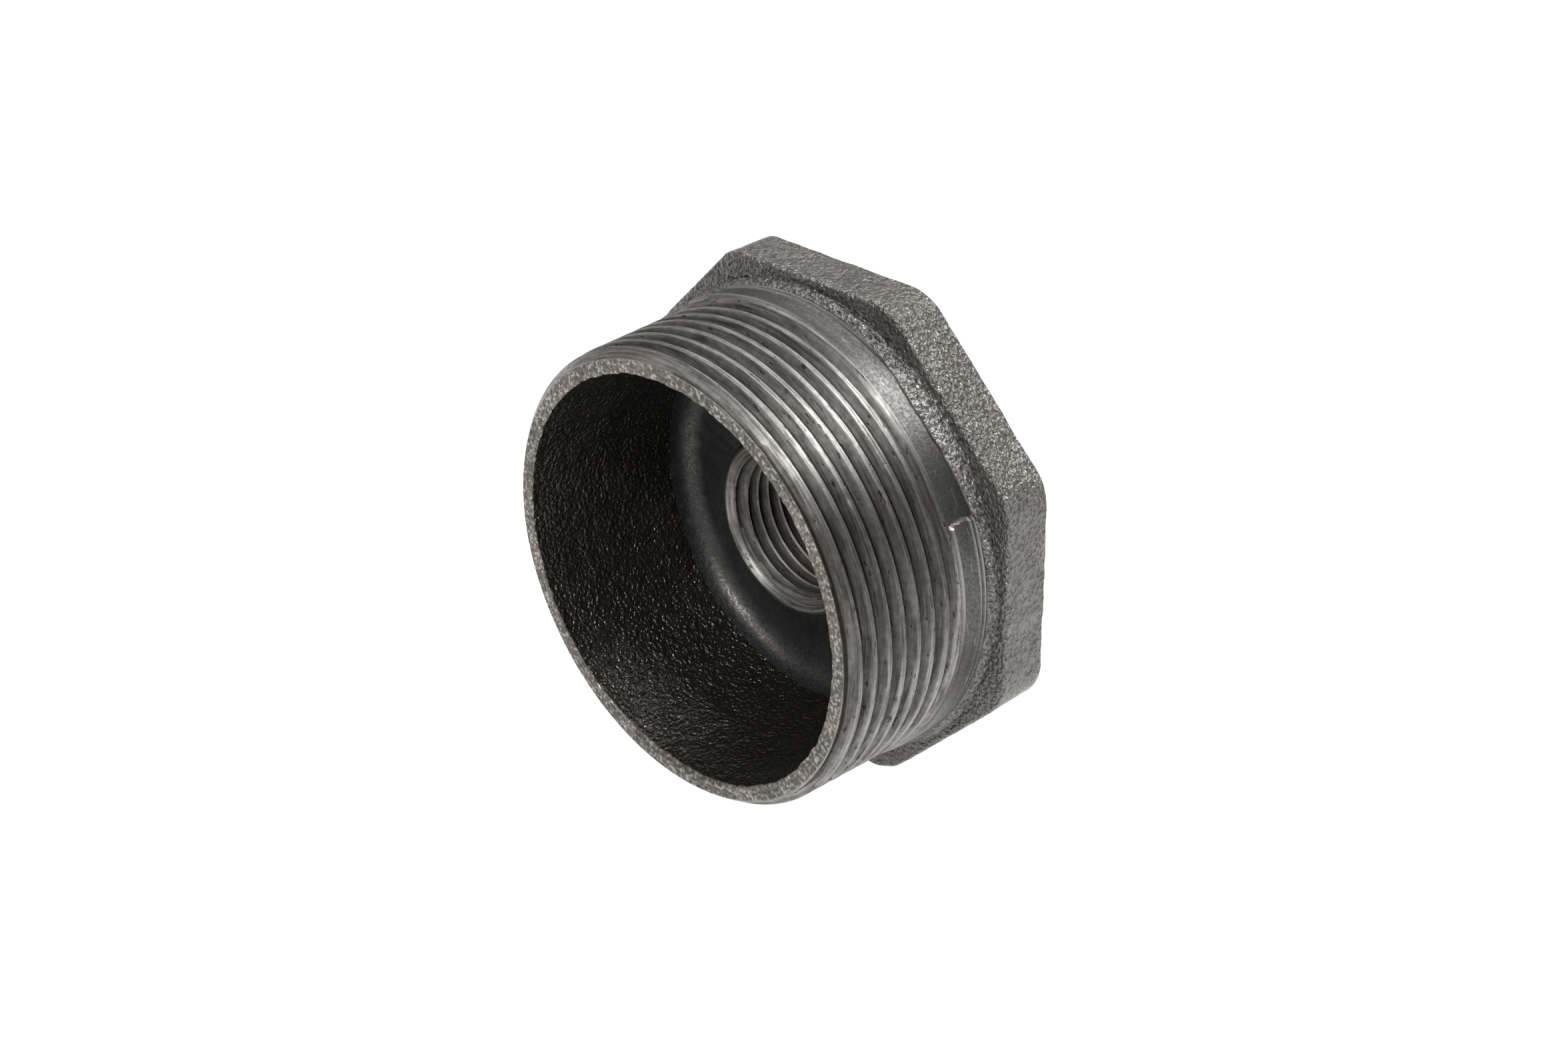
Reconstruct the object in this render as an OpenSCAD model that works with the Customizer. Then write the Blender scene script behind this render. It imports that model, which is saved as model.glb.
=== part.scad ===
// Threaded reducing bushing in black malleable cast iron: a 2 inch male taper thread outside,
// a 1/2 inch female thread inside, and an eight-sided head for the spanner.
// It is one casting, so it is one node. The axis lies along Y: the head's outer face is at
// Y = 0, the open male end points to -Y, and the part lies on one flat of its head.

/* [Head] */
// Thickness of the head along the axis
head_t = 7; // [4:0.5:12]
// How far the head's flats stand out from the collar
head_ledge = 2.05; // [1:0.05:8]
// Radius of the cast rounding on the head's eight corners
head_corner_r = 8; // [1:0.5:12]

/* [Male end] */
// Length of the male end, from the head's shoulder to the rim
male_len = 23; // [16:0.5:40]
// Major diameter of the male taper thread at its gauge plane (R 2)
male_major_d = 59.614; // [47.8:0.001:87.9]
// Distance from the rim back to the gauge plane
male_gauge_len = 15.9; // [10:0.1:21]
// Pitch of the male thread (11 threads per inch)
male_pitch = 2.309; // [1.814:0.001:2.8]
// Length of the 45 degree chamfer that leads the male thread in
male_chamfer = 1.2; // [0.5:0.1:1.8]
// How far the turned collar stands out from the crests of the male thread
collar_step = 0.35; // [0.05:0.05:1]
// Length of the turned collar
collar_len = 4.4; // [2:0.1:6]
// Radius of the cast fillet between the collar and the head
neck_fillet_r = 1.35; // [0.5:0.05:2]

/* [Cavity] */
// Wall between the male thread's root and the cavity, at the rim
rim_wall = 1.6; // [1.2:0.1:4]
// Draft angle of the cavity's wall, in degrees
cavity_draft = 3.9; // [1:0.1:6]
// Radius of the fillet between the cavity's wall and its floor
cavity_fillet_r = 3; // [1:0.1:4]
// Thickness of the web between the cavity's floor and the head's outer face
web_t = 5; // [3.5:0.1:7]

/* [Small port] */
// Major diameter of the female thread (Rp 1/2)
port_major_d = 20.955; // [16.6:0.001:26.5]
// Pitch of the female thread (14 threads per inch)
port_pitch = 1.814; // [1.337:0.001:2.309]
// Height of the cast boss that carries the port, above the cavity's floor
boss_h = 6; // [4:0.1:10]
// Wall of the boss round the female thread, at its top
boss_wall = 1.5; // [1:0.1:4]
// Length of the 45 degree chamfer at the port's outer mouth
port_outer_chamfer = 1.5; // [0.5:0.1:2]
// Length of the 45 degree chamfer at the port's inner mouth
port_inner_chamfer = 1.7; // [0.5:0.1:2.1]

/* [Hidden] */

$fn = 96;
HEAD_SIDES = 8;
CORNER_STEPS = 6;
FILLET_STEPS = 8;
// How far a solid or a cut runs past the face that it has to clear
OVERLAP = 0.5;

// 55 degree Whitworth form: depth and crest width as shares of the pitch
THREAD_DEPTH = 0.640327;
HALF_FLANK = 27.5;
CREST_WIDTH = (1 - 2 * THREAD_DEPTH * tan(HALF_FLANK)) / 2;
// Taper of the male thread on its radius
MALE_TAPER = 1 / 32;
// Draft of the boss on its radius
BOSS_DRAFT = 0.06;

total_len = head_t + male_len;
gauge_z = total_len - male_gauge_len;

// Crest radius of the male thread at distance z from the head's outer face
function male_crest_r(z) = male_major_d / 2 - (z - gauge_z) * MALE_TAPER;

neck_r = min(neck_fillet_r, head_ledge - 0.2);
male_depth = THREAD_DEPTH * male_pitch;
thread_start = head_t + neck_r + collar_len;
male_ridges = floor((total_len - thread_start) / male_pitch);
collar_r = male_crest_r(thread_start) + collar_step;
flat_r = collar_r + head_ledge;

mouth_r = male_crest_r(total_len) - male_depth - rim_wall;
floor_r = mouth_r - (total_len - web_t) * tan(cavity_draft);

port_len = web_t + boss_h;
port_depth = THREAD_DEPTH * port_pitch;
port_minor_r = port_major_d / 2 - port_depth;
port_land_end = port_len - port_inner_chamfer;
port_grooves = floor((port_land_end - port_outer_chamfer) / port_pitch);
boss_top_r = port_major_d / 2 + boss_wall;

// Points of an arc about c, from angle a0 to angle a1
function arc(c, r, a0, a1, steps) =
    [for (i = [0:steps]) let (a = a0 + (a1 - a0) * i / steps) c + r * [cos(a), sin(a)]];

// Outline of the head: a regular polygon with a flat at the bottom and rounded corners
function head_outline() =
    let (half = 180 / HEAD_SIDES,
         centre_r = (flat_r - head_corner_r) / cos(half))
    [for (k = [0:HEAD_SIDES - 1])
        let (a = half + k * 2 * half)
        each arc(centre_r * [cos(a), sin(a)], head_corner_r, a - half, a + half, CORNER_STEPS)];

// One ridge of the male thread, as profile points that run towards the rim
function male_ridge(k) =
    let (flank = male_depth * tan(HALF_FLANK),
         land = CREST_WIDTH * male_pitch,
         z0 = thread_start + k * male_pitch,
         z1 = z0 + flank,
         z2 = z1 + land,
         z3 = z2 + flank,
         z4 = z3 + land)
    [[male_crest_r(z1) - male_depth, z1],
     [male_crest_r(z2) - male_depth, z2],
     [male_crest_r(z3), z3],
     [male_crest_r(z4), z4]];

// Outside of the male end as a profile beside the axis: fillet, collar, thread, rim
function male_outline() =
    concat(
        [[0, head_t - OVERLAP], [collar_r + neck_r, head_t - OVERLAP]],
        arc([collar_r + neck_r, head_t + neck_r], neck_r, 270, 180, FILLET_STEPS),
        [[collar_r, thread_start - collar_step], [collar_r - collar_step, thread_start]],
        [for (k = [0:male_ridges - 1]) each male_ridge(k)],
        [[male_crest_r(total_len), total_len], [0, total_len]]);

// Everything inside the cone that the lead-in chamfer is turned to
module chamfer_envelope() {
    rim_r = male_crest_r(total_len) - male_chamfer;
    rotate_extrude()
        polygon([[0, 0], [rim_r + total_len, 0], [rim_r, total_len], [0, total_len]]);
}

module male_end() {
    intersection() {
        rotate_extrude() polygon(male_outline());
        chamfer_envelope();
    }
}

// The cast hollow: drafted wall, filleted floor, and the boss left standing in the middle
module cavity() {
    slope = tan(cavity_draft);
    fillet_c = [floor_r + cavity_fillet_r * (slope - 1 / cos(cavity_draft)),
                web_t + cavity_fillet_r];
    boss_base_r = boss_top_r + BOSS_DRAFT * (boss_h + OVERLAP);
    difference() {
        rotate_extrude()
            polygon(concat(
                [[0, web_t]],
                arc(fillet_c, cavity_fillet_r, 270, 360 - cavity_draft, FILLET_STEPS),
                [[mouth_r + slope * OVERLAP, total_len + OVERLAP], [0, total_len + OVERLAP]]));
        rotate_extrude()
            polygon([[0, web_t - OVERLAP], [boss_base_r, web_t - OVERLAP],
                     [boss_top_r, port_len], [0, port_len]]);
    }
}

// One ring groove of the female thread, cut outwards from the minor diameter at height z
module port_groove(z) {
    flank = port_depth * tan(HALF_FLANK);
    land = CREST_WIDTH * port_pitch;
    spread = OVERLAP * tan(HALF_FLANK);
    rotate_extrude()
        polygon([[port_minor_r - OVERLAP, z - spread],
                 [port_minor_r + port_depth, z + flank],
                 [port_minor_r + port_depth, z + flank + land],
                 [port_minor_r - OVERLAP, z + 2 * flank + land + spread]]);
}

// The female thread: a true bore at the minor diameter, its grooves and two chamfers
module small_port() {
    first_land = CREST_WIDTH * port_pitch;
    translate([0, 0, -OVERLAP]) cylinder(r = port_minor_r, h = port_len + 2 * OVERLAP);
    for (k = [0:port_grooves - 1])
        port_groove(port_outer_chamfer + first_land + k * port_pitch);
    translate([0, 0, -OVERLAP])
        cylinder(r1 = port_minor_r + port_outer_chamfer + OVERLAP, r2 = port_minor_r,
                 h = port_outer_chamfer + OVERLAP);
    translate([0, 0, port_land_end])
        cylinder(r1 = port_minor_r, r2 = port_minor_r + port_inner_chamfer + OVERLAP,
                 h = port_inner_chamfer + OVERLAP);
}

module bushing() {
    color("dimgray")
        rotate([90, 0, 0])
            difference() {
                union() {
                    linear_extrude(head_t) polygon(head_outline());
                    male_end();
                }
                cavity();
                small_port();
            }
}

bushing();
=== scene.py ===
"""Threaded reducing bushing in black malleable iron: 2 inch male thread, 1/2 inch female thread.

The casting is one closed surface round the Y axis. Its head's outer face is at Y = 0, its open
male end points to -Y, and it lies on one flat of its eight-sided head. In the shape functions
lengths are in millimetres, "depth" is the distance from the head's outer face, and "turn" is
the angle round the axis from +X towards +Z.
"""
import math

import bpy
import numpy as np
from bpy.props import FloatProperty, FloatVectorProperty, PointerProperty
from mathutils import Matrix, Vector


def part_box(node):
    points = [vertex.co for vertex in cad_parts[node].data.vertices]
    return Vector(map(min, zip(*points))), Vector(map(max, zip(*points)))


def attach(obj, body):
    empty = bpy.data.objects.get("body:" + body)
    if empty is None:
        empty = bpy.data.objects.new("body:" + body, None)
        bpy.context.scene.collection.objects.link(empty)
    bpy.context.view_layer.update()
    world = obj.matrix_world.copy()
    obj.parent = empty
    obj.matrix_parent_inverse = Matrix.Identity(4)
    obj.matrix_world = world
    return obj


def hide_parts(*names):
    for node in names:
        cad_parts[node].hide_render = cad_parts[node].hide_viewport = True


bl_info = {
    "name": "Threaded Reducing Bushing",
    "version": (1, 0, 0),
    "blender": (4, 5, 0),
    "location": "View3D > Sidebar > Bushing",
    "description": "Builds a malleable iron reducing bushing, its finishes and its studio",
    "category": "Object",
}

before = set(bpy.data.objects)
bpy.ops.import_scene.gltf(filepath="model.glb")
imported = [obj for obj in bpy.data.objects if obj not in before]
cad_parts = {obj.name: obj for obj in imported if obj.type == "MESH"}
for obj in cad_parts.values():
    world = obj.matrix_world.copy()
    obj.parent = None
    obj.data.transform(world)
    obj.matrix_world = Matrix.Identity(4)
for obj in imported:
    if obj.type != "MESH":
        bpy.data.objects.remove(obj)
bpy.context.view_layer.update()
CAD_LOW, CAD_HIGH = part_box("bushing")

MM = 0.001
TURN = 2 * math.pi


def linear(hex_colour):
    """Linear RGB of an sRGB hex colour, by the standard two-part curve."""
    parts = [int(hex_colour[i:i + 2], 16) / 255 for i in (1, 3, 5)]
    return tuple(c / 12.92 if c <= 0.04045 else ((c + 0.055) / 1.055) ** 2.4 for c in parts)


# ---------------------------------------------------------------- properties

def length(name, description, default_mm, low=0.0, high=200.0):
    """A length property, given here in millimetres and held in metres."""
    return FloatProperty(name=name, description=description, default=default_mm * MM,
                         min=low * MM, max=high * MM, unit="LENGTH", precision=5)


def colour(name, description, hex_colour):
    """A colour property with an sRGB hex default."""
    return FloatVectorProperty(name=name, description=description, subtype="COLOR", size=3,
                               min=0.0, max=1.0, default=linear(hex_colour))


class BushingSizes(bpy.types.PropertyGroup):
    head_thickness: length("Head thickness", "Thickness of the eight-sided head", 7.0)
    across_flats: length("Across flats", "Width of the head across two opposite flats",
                         (CAD_HIGH[2] - CAD_LOW[2]) / MM)
    corner_radius: length("Corner radius", "Cast rounding of the head's eight corners", 8.0)
    edge_round: length("Edge rounding", "Cast rounding of the head's two rims", 0.42)
    overall_length: length("Overall length", "From the head's outer face to the male end's rim",
                           (CAD_HIGH[1] - CAD_LOW[1]) / MM)
    collar_radius: length("Collar radius", "Radius of the turned collar next to the head", 30.2)
    thread_radius: length("Thread radius", "Crest radius of the male thread at its gauge plane",
                          29.807)
    thread_pitch: length("Thread pitch", "Pitch of the male thread, 11 threads per inch", 2.309)
    mouth_radius: length("Mouth radius", "Radius of the cast cavity at the rim", 26.23)
    floor_radius: length("Floor radius", "Radius the cavity's drafted wall has at its floor",
                         24.53)
    web_thickness: length("Web thickness", "Iron between the cavity's floor and the head's face",
                          5.0)
    boss_radius: length("Boss radius", "Radius of the boss round the small port, at its top",
                        11.98)
    boss_height: length("Boss height", "Height of the boss above the cavity's floor", 6.0)
    port_radius: length("Port radius", "Minor radius of the female thread", 9.316)
    port_pitch: length("Port pitch", "Pitch of the female thread, 14 threads per inch", 1.814)


class BushingColours(bpy.types.PropertyGroup):
    skin: colour("Cast skin", "Black oxide skin of the sand casting", "#6b6864")
    skin_dark: colour("Cast skin, hollows", "The skin between the sand grains", "#514f4b")
    # Cavity and cavity floor: darker than the outer skin, partly oil and partly painted shade
    # for inside the cavity, with the wall darkest
    cavity: colour("Cavity", "Cast skin of the cavity, dark with oil", "#3f3d3a")
    cavity_floor: colour("Cavity floor", "Smoother skin of the floor, satin with oil", "#4c4b4a")
    cut: colour("Cut iron", "Crests where the die has cut", "#979693")
    collar: colour("Collar", "Turned collar, darker than the crests", "#5f5e5c")
    cut_dark: colour("Cut iron, grooves", "Thread flanks and roots, dark with oil", "#38342f")
    rim: colour("Faced rim", "Rim faced in the lathe and left bare", "#78726a")
    rust: colour("Rust", "First rust on the bare rim", "#8a5a2c")
    floor: colour("Floor", "Plain pale studio floor", "#f4f4f4")


# ---------------------------------------------------------------- shape

COLUMNS = 320
# Angles of the rows along a quarter round
QUARTER = np.radians([0, 22, 45, 68, 90])

# 55 degree thread form: widths of the male thread's crest and root, and where its crest's
# middle lies when the turn is zero
FLANK_SLOPE = math.tan(math.radians(27.5))
CREST_WIDTH = 0.66
ROOT_WIDTH = 0.42
FIRST_CREST = 12.283
# Taper of the male thread on its radius, the depth of its gauge plane, the depth where its
# grid takes over from the collar's, and the length of its lead-in chamfer
THREAD_TAPER = 1 / 32
GAUGE_DEPTH = 14.1
THREAD_FROM = 12.75
RIM_CHAMFER = 1.2
# Depths between which the collar steps down to the crests, and the grooves reach full depth
CREST_BLEND = (13.1, 13.9)
GROOVE_BLEND = (12.0, 15.2)

# The die's four chasers each leave a step where they were lifted off. It leans by these
# degrees round the turn at these depths. The lean dies out this far round, and grows from
# nothing to the whole of it between the last two depths.
CHASER_TURNS = np.radians([22.5, 112.5, 202.5, 292.5])
STEP_HALF_WIDTH = math.radians(0.22)
STEP_LEAN_DEPTHS = (9.0, 11.5, 14.7, 20.0)
STEP_LEAN = (-1.2, 0.0, 1.1, 0.0)
STEP_LEAN_REACH = math.radians(20)
STEP_LEAN_START = (7.0, 9.0)
# Height of the iron left beside a step, how far round it fades out, and the depths where it
# starts and ends
CHASER_RISE = 0.26
CHASER_RISE_REACH = math.radians(60)
CHASER_RISE_START = (8.1, 8.4)
CHASER_RISE_END = (12.0, 14.3)
# Depth, half width and height of the ridges beside a step, and how far round they fade out
CHASER_RIDGES = ((8.72, 0.15, 0.24), (9.4, 0.17, 0.2), (12.4, 0.24, 0.3))
CHASER_RIDGE_REACH = math.radians(62)

# The cast neck sits off centre, so the collar starts deepest at one turn
COLLAR_FROM = 8.25
COLLAR_SWELL = 1.5
COLLAR_SWELL_TURN = 46.0
COLLAR_SWELL_WIDTH = 20.0
COLLAR_WANDER, COLLAR_WAVES = 0.05, (12, 90)
# How far the neck stands out from the collar at its foot, how far it bulges between, and the
# height of the small lip where it meets the collar
NECK_REACH = 0.75
NECK_BULGE = 0.14
NECK_LIP = 0.2

# Turn in degrees, depth, width and deepness of the knocks on the crests
NICKS = ((55.5, 27.0, 0.7, 0.25), (52.0, 24.4, 0.4, 0.15), (38.0, 24.5, 0.5, 0.18),
         (28.0, 24.4, 0.4, 0.15), (4.0, 20.0, 0.5, 0.15), (-14.0, 22.0, 0.6, 0.2),
         (96.0, 22.5, 0.5, 0.18), (131.0, 17.5, 0.6, 0.2), (168.0, 26.8, 0.5, 0.2),
         (205.0, 19.8, 0.6, 0.2), (244.0, 24.0, 0.5, 0.15), (301.0, 17.3, 0.6, 0.2))
# Height of the fine wear all over the crests, and its waves round the turn and along it
CREST_WEAR = 0.005
CREST_WAVES, CREST_WAVES_PER_MM = (20, 70), 0.3

# No two of the mould's corners are alike: each one's share of the nominal corner radius
CORNER_SHARES = np.array([0.9, 0.85, 0.5, 0.9, 1.0, 0.8, 1.0, 0.75])

# Inner edge of the rim: how far it stands out, how ragged it is, and its spikes, which are
# tallest round one turn
MOUTH_OUT = 0.05
MOUTH_RAGGED, MOUTH_WAVES = 0.045, (9, 60)
MOUTH_SPIKES, SPIKE_WAVES = 0.07, (60, 150)
SPIKES_LEAST, SPIKES_MORE = 0.4, 0.9
SPIKES_TURN, SPIKES_WIDTH = 178.0, 45.0
# Rounding of that edge, which is wider towards the bottom, and how far down the cavity's wall
# its raggedness reaches
MOUTH_ROUND, MOUTH_ROUND_MORE = 0.16, 0.5
MOUTH_ROUND_TURN, MOUTH_ROUND_WIDTH = 265.0, 28.0
MOUTH_RAGGED_DEPTH = 3.0

# Fillet of the cavity's floor, roundings at the boss's foot and top, the boss's draft, the
# port's two chamfers, and its thread's depth as a share of its pitch
CAVITY_FILLET = 3.0
BOSS_FOOT_ROUND = 0.9
BOSS_TOP_ROUND = 0.75
BOSS_DRAFT = 0.06
PORT_OUTER_CHAMFER = 1.5
PORT_INNER_CHAMFER = 1.7
PORT_THREAD_DEPTH = 0.640327
# The female thread's crest and root widths, and the depth of a crest's middle at the third
# chaser's turn
PORT_CREST_WIDTH = 0.36
PORT_ROOT_WIDTH = 0.30
PORT_CREST = 9.04

# Unevenness of the cast skin: how many cosine waves make it, then the waves round the turn
# and along each millimetre of its broad swells and of its smaller lumps
WAVES = 28
SWELLS_ROUND, SWELLS_PER_MM = (3, 14), 0.05
LUMPS_ROUND, LUMPS_PER_MM, LUMPS_SHARE = (20, 75), 0.22, 0.55
# Its height on the head, on the neck, and in the cavity, where the sand core was
MOULD_ROUGH = 0.05
NECK_ROUGH = 0.09
CORE_ROUGH = 0.06
# Millimetres of skin between the first and last rows of the face and of the neck
FACE_SPAN = 12
NECK_SPAN = 3
# Seeds of the random draws; the skin draws its lumps from the next seed after its swells
SEEDS = {"face": 3, "edge": 11, "shoulder": 21, "neck": 23, "collar": 25, "crests": 31,
         "mouth": 41, "spikes": 43, "cavity": 51, "boss": 61}


def smooth(low, high, x):
    """0 below low and 1 above high, with the cubic 3t^2 - 2t^3 between them."""
    t = np.clip((x - low) / (high - low), 0.0, 1.0)
    return t * t * (3 - 2 * t)


def apart(turn, degrees):
    """Degrees from a given turn to these turns, from -180 to 180."""
    return (np.degrees(turn) - degrees + 180) % 360 - 180


def bell(turn, degrees, width):
    """1 at a given turn, falling on both sides as exp(-(a / width)^2) with a in degrees."""
    return np.exp(-(apart(turn, degrees) / width) ** 2)


def uneven(turn, along, seed, turns, waves_per_mm, height):
    """Sum of cosine waves with random phases, each with a whole number of waves round the
    turn and a random number along the surface, so that it closes on itself."""
    rng = np.random.default_rng(seed)
    total = np.zeros(np.broadcast(turn, along).shape)
    for _ in range(WAVES):
        around = rng.integers(turns[0], turns[1] + 1) * rng.choice((-1, 1))
        ahead = rng.uniform(0.0, waves_per_mm) * TURN
        total += np.cos(around * turn + ahead * along + rng.uniform(0, TURN))
    return height * total / math.sqrt(WAVES / 2)


def skin(turn, along, place, height):
    """Unevenness of the sand-cast skin: broad swells, and lumps a few millimetres wide."""
    seed = SEEDS[place]
    swells = uneven(turn, along, seed, SWELLS_ROUND, SWELLS_PER_MM, height)
    lumps = uneven(turn, along, seed + 1, LUMPS_ROUND, LUMPS_PER_MM, height * LUMPS_SHARE)
    return swells + lumps


def turns_round():
    """The columns' turns from 0 to a full turn: evenly spaced, with each column at a chaser
    step split into a close pair so that the step is a crisp edge."""
    even = np.linspace(0.0, TURN, COLUMNS + 1)
    gap = np.abs(even[:, None] - CHASER_TURNS[None, :]).min(axis=1)
    pairs = np.concatenate([CHASER_TURNS - STEP_HALF_WIDTH, CHASER_TURNS + STEP_HALF_WIDTH])
    return np.sort(np.concatenate([even[gap > 0.6 * TURN / COLUMNS], pairs]))


def slanted(turn, depth):
    """Turns of the columns at a depth: at a chaser step they lean as the step does, and the
    lean falls to nothing as (1 - a / reach)^2, with a the angle from the step."""
    lean = np.radians(np.interp(depth, STEP_LEAN_DEPTHS, STEP_LEAN))
    away = np.abs(turn[..., None] - CHASER_TURNS).min(axis=-1)
    reach = np.clip(1 - away / STEP_LEAN_REACH, 0.0, 1.0) ** 2
    fade = smooth(*STEP_LEAN_START, depth)
    return turn + lean * reach * fade


def head_radius(turn, flat, corner_radius):
    """Distance from the axis to an octagon with rounded corners and a flat at the bottom.
    With d the turn from the nearest corner: flat / cos(22.5 deg - d) on a flat, and
    c cos d + sqrt(R^2 - (c sin d)^2) on a corner whose circle is centred c from the axis."""
    eighth = TURN / 8
    off = turn % eighth - eighth / 2
    corner = corner_radius * CORNER_SHARES[(turn // eighth).astype(int) % 8]
    centre = (flat - corner) / math.cos(eighth / 2)
    on_flat = flat / np.cos(eighth / 2 - np.abs(off))
    inside = np.clip(corner ** 2 - (centre * np.sin(off)) ** 2, 0.0, None)
    on_corner = centre * np.cos(off) + np.sqrt(inside)
    tangent = np.arctan2(corner * math.sin(eighth / 2),
                         centre + corner * math.cos(eighth / 2))
    return np.where(np.abs(off) < tangent, on_corner, on_flat)


def ridge(phase, pitch, crest, root):
    """Height from 0 at the root to 1 at the crest of a thread with straight flanks, for a
    distance from the crest's middle along the axis."""
    away = np.abs((phase / pitch + 0.5) % 1.0 - 0.5) * pitch
    flank = (pitch - crest - root) / 2
    return np.clip(1 - (away - crest / 2) / flank, 0.0, 1.0)


class Surfaces:
    """The casting's surfaces for one set of sizes, each as grids of turn, radius and depth."""

    def __init__(self, sizes):
        names = BushingSizes.__annotations__
        self.__dict__.update({name: getattr(sizes, name) / MM for name in names})
        self.turns = turns_round()
        self.flat = self.across_flats / 2
        self.thread_depth = (self.thread_pitch - CREST_WIDTH - ROOT_WIDTH) / 2 / FLANK_SLOPE
        self.draft = ((self.mouth_radius - self.floor_radius)
                      / (self.overall_length - self.web_thickness))
        self.boss_top = self.web_thickness + self.boss_height
        self.port_depth = PORT_THREAD_DEPTH * self.port_pitch

    def grid(self, rows):
        """Turn and row value as two grids of the same shape."""
        turn, value = np.meshgrid(self.turns, np.asarray(rows, float))
        return turn, value

    def outer_face(self):
        """The head's outer face: rings that pass from the port's circle to the octagon."""
        turn, t = self.grid([0, 0.04, 0.1, 0.25, 0.45, 0.65, 0.82, 0.93, 1])
        inner = self.port_radius + PORT_OUTER_CHAMFER
        outer = self.edge(turn, 0.0) - self.edge_round
        hollow = np.abs(skin(turn, FACE_SPAN * t, "face", MOULD_ROUGH)) * np.sin(np.pi * t)
        return turn, inner + (outer - inner) * t, hollow

    def edge(self, turn, depth):
        """The head's outline, with the cast unevenness kept inside the true flats."""
        true = head_radius(turn, self.flat, self.corner_radius)
        return true - np.abs(skin(turn, depth, "edge", MOULD_ROUGH))

    def head_side(self):
        """The head's eight flats: a quarter round, a straight run and a quarter round. Along
        each round, radius falls by e (1 - sin a) and depth moves by e (1 - cos a)."""
        e = self.edge_round
        a = np.radians([0, 18, 36, 54, 72, 90])
        straight = np.linspace(e, self.head_thickness - e, 7)[1:-1]
        drop = np.concatenate([1 - np.sin(a), np.zeros(len(straight)), 1 - np.cos(a)])
        depths = np.concatenate([e * (1 - np.cos(a)), straight,
                                 self.head_thickness - e * (1 - np.sin(a))])
        turn, depth = self.grid(depths)
        fall = np.broadcast_to((e * drop)[:, None], turn.shape)
        return turn, self.edge(turn, depth) - fall, depth

    def collar_start(self, turn):
        """Depth where the turned collar starts: the same all round but for a bell curve round
        the turn where the off-centre cast neck reaches furthest, and a slight wander."""
        swell = COLLAR_SWELL * bell(turn, COLLAR_SWELL_TURN, COLLAR_SWELL_WIDTH)
        wander = uneven(turn, 0 * turn, SEEDS["collar"], COLLAR_WAVES, 0.0, COLLAR_WANDER)
        return COLLAR_FROM + swell + wander

    def shoulder(self):
        """The head's inner face and the cast neck: from the octagon in to the neck, then a
        cone that bulges by B sin(pi t) and ends in a small lip above the collar."""
        foot = self.collar_radius + NECK_LIP + NECK_REACH
        turn, t = self.grid([0, 0.25, 0.5, 0.75, 0.92])
        start = self.edge(turn, self.head_thickness) - self.edge_round
        lump = skin(turn, NECK_SPAN * t, "shoulder", MOULD_ROUGH) * np.sin(np.pi * t)
        face = turn, start + (foot - start) * t, self.head_thickness + lump
        turn, t = self.grid([0, 0.1, 0.22, 0.35, 0.48, 0.61, 0.74, 0.87, 1])
        lump = skin(turn, NECK_SPAN * t, "neck", NECK_ROUGH) * np.sin(np.pi * t)
        radius = foot - NECK_REACH * t + NECK_BULGE * np.sin(np.pi * t) + lump
        neck_length = self.collar_start(turn) - self.head_thickness
        neck = turn, radius, self.head_thickness + neck_length * t
        return tuple(np.vstack(pair) for pair in zip(face, neck))

    def crest_radius(self, depth):
        """Crest radius of the 1 in 16 taper thread."""
        return self.thread_radius - (depth - GAUGE_DEPTH) * THREAD_TAPER

    def chaser_marks(self, turn, depth):
        """Height that the lifted chasers leave on the collar: highest just before each step
        and fading in a straight line round the turn, with narrow bell-shaped ridges on it."""
        before = (CHASER_TURNS[0] - turn) % (TURN / 4)
        rise = CHASER_RISE * np.clip(1 - before / CHASER_RISE_REACH, 0.0, 1.0)
        fade = np.clip(1 - before / CHASER_RIDGE_REACH, 0.0, 1.0) ** 0.5
        ridges = sum(height * np.exp(-((depth - middle) / width) ** 2)
                     for middle, width, height in CHASER_RIDGES)
        zone = smooth(*CHASER_RISE_START, depth) * (1 - smooth(*CHASER_RISE_END, depth))
        return (rise + ridges * fade) * zone

    def male_radius(self, turn, depth):
        """Radius of the male end: the collar, stepping down to the crests, less a groove that
        grows to its full depth over the first turns; the rim's chamfer cuts across all."""
        crest = self.crest_radius(depth)
        body = self.collar_radius + (crest - self.collar_radius) * smooth(*CREST_BLEND, depth)
        phase = depth - FIRST_CREST - self.thread_pitch * turn / TURN
        form = ridge(phase, self.thread_pitch, CREST_WIDTH, ROOT_WIDTH)
        cut = self.thread_depth * smooth(*GROOVE_BLEND, depth) * (1 - form)
        rough = uneven(turn, depth, SEEDS["crests"], CREST_WAVES, CREST_WAVES_PER_MM,
                       CREST_WEAR)
        worn = np.abs(rough) + self.nicks(turn, depth)
        radius = body - cut - worn * form + self.chaser_marks(turn, depth)
        return np.minimum(radius, self.chamfer_radius(depth))

    def chamfer_radius(self, depth):
        """Radius of the 45 degree cone that leads the male thread in."""
        rim = self.crest_radius(self.overall_length) - RIM_CHAMFER
        return rim + (self.overall_length - depth)

    def nicks(self, turn, depth):
        """Depth of the small knocks on the crests, each a bell curve round its own place."""
        total = np.zeros_like(turn)
        for degrees, place, width, deep in NICKS:
            along = np.radians(apart(turn, degrees)) * self.thread_radius
            total += deep * np.exp(-(along ** 2 + (depth - place) ** 2) / width ** 2)
        return total

    def collar(self):
        """The turned collar, from the small lip of cast iron beside it to the first groove,
        with its rows closest where the chasers' ridges are."""
        turn, depth = self.grid([COLLAR_FROM, 8.5, 8.58, 8.65, 8.72, 8.79, 8.87, 9.0, 9.15, 9.27,
                                 9.4, 9.53, 9.68, 9.9, 10.4, 11.0, 11.5, 12.0, 12.25, 12.5,
                                 THREAD_FROM])
        depth = np.maximum(depth, self.collar_start(turn) + 0.05)
        turn = slanted(turn, depth)
        return turn, self.male_radius(turn, depth), depth

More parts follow.
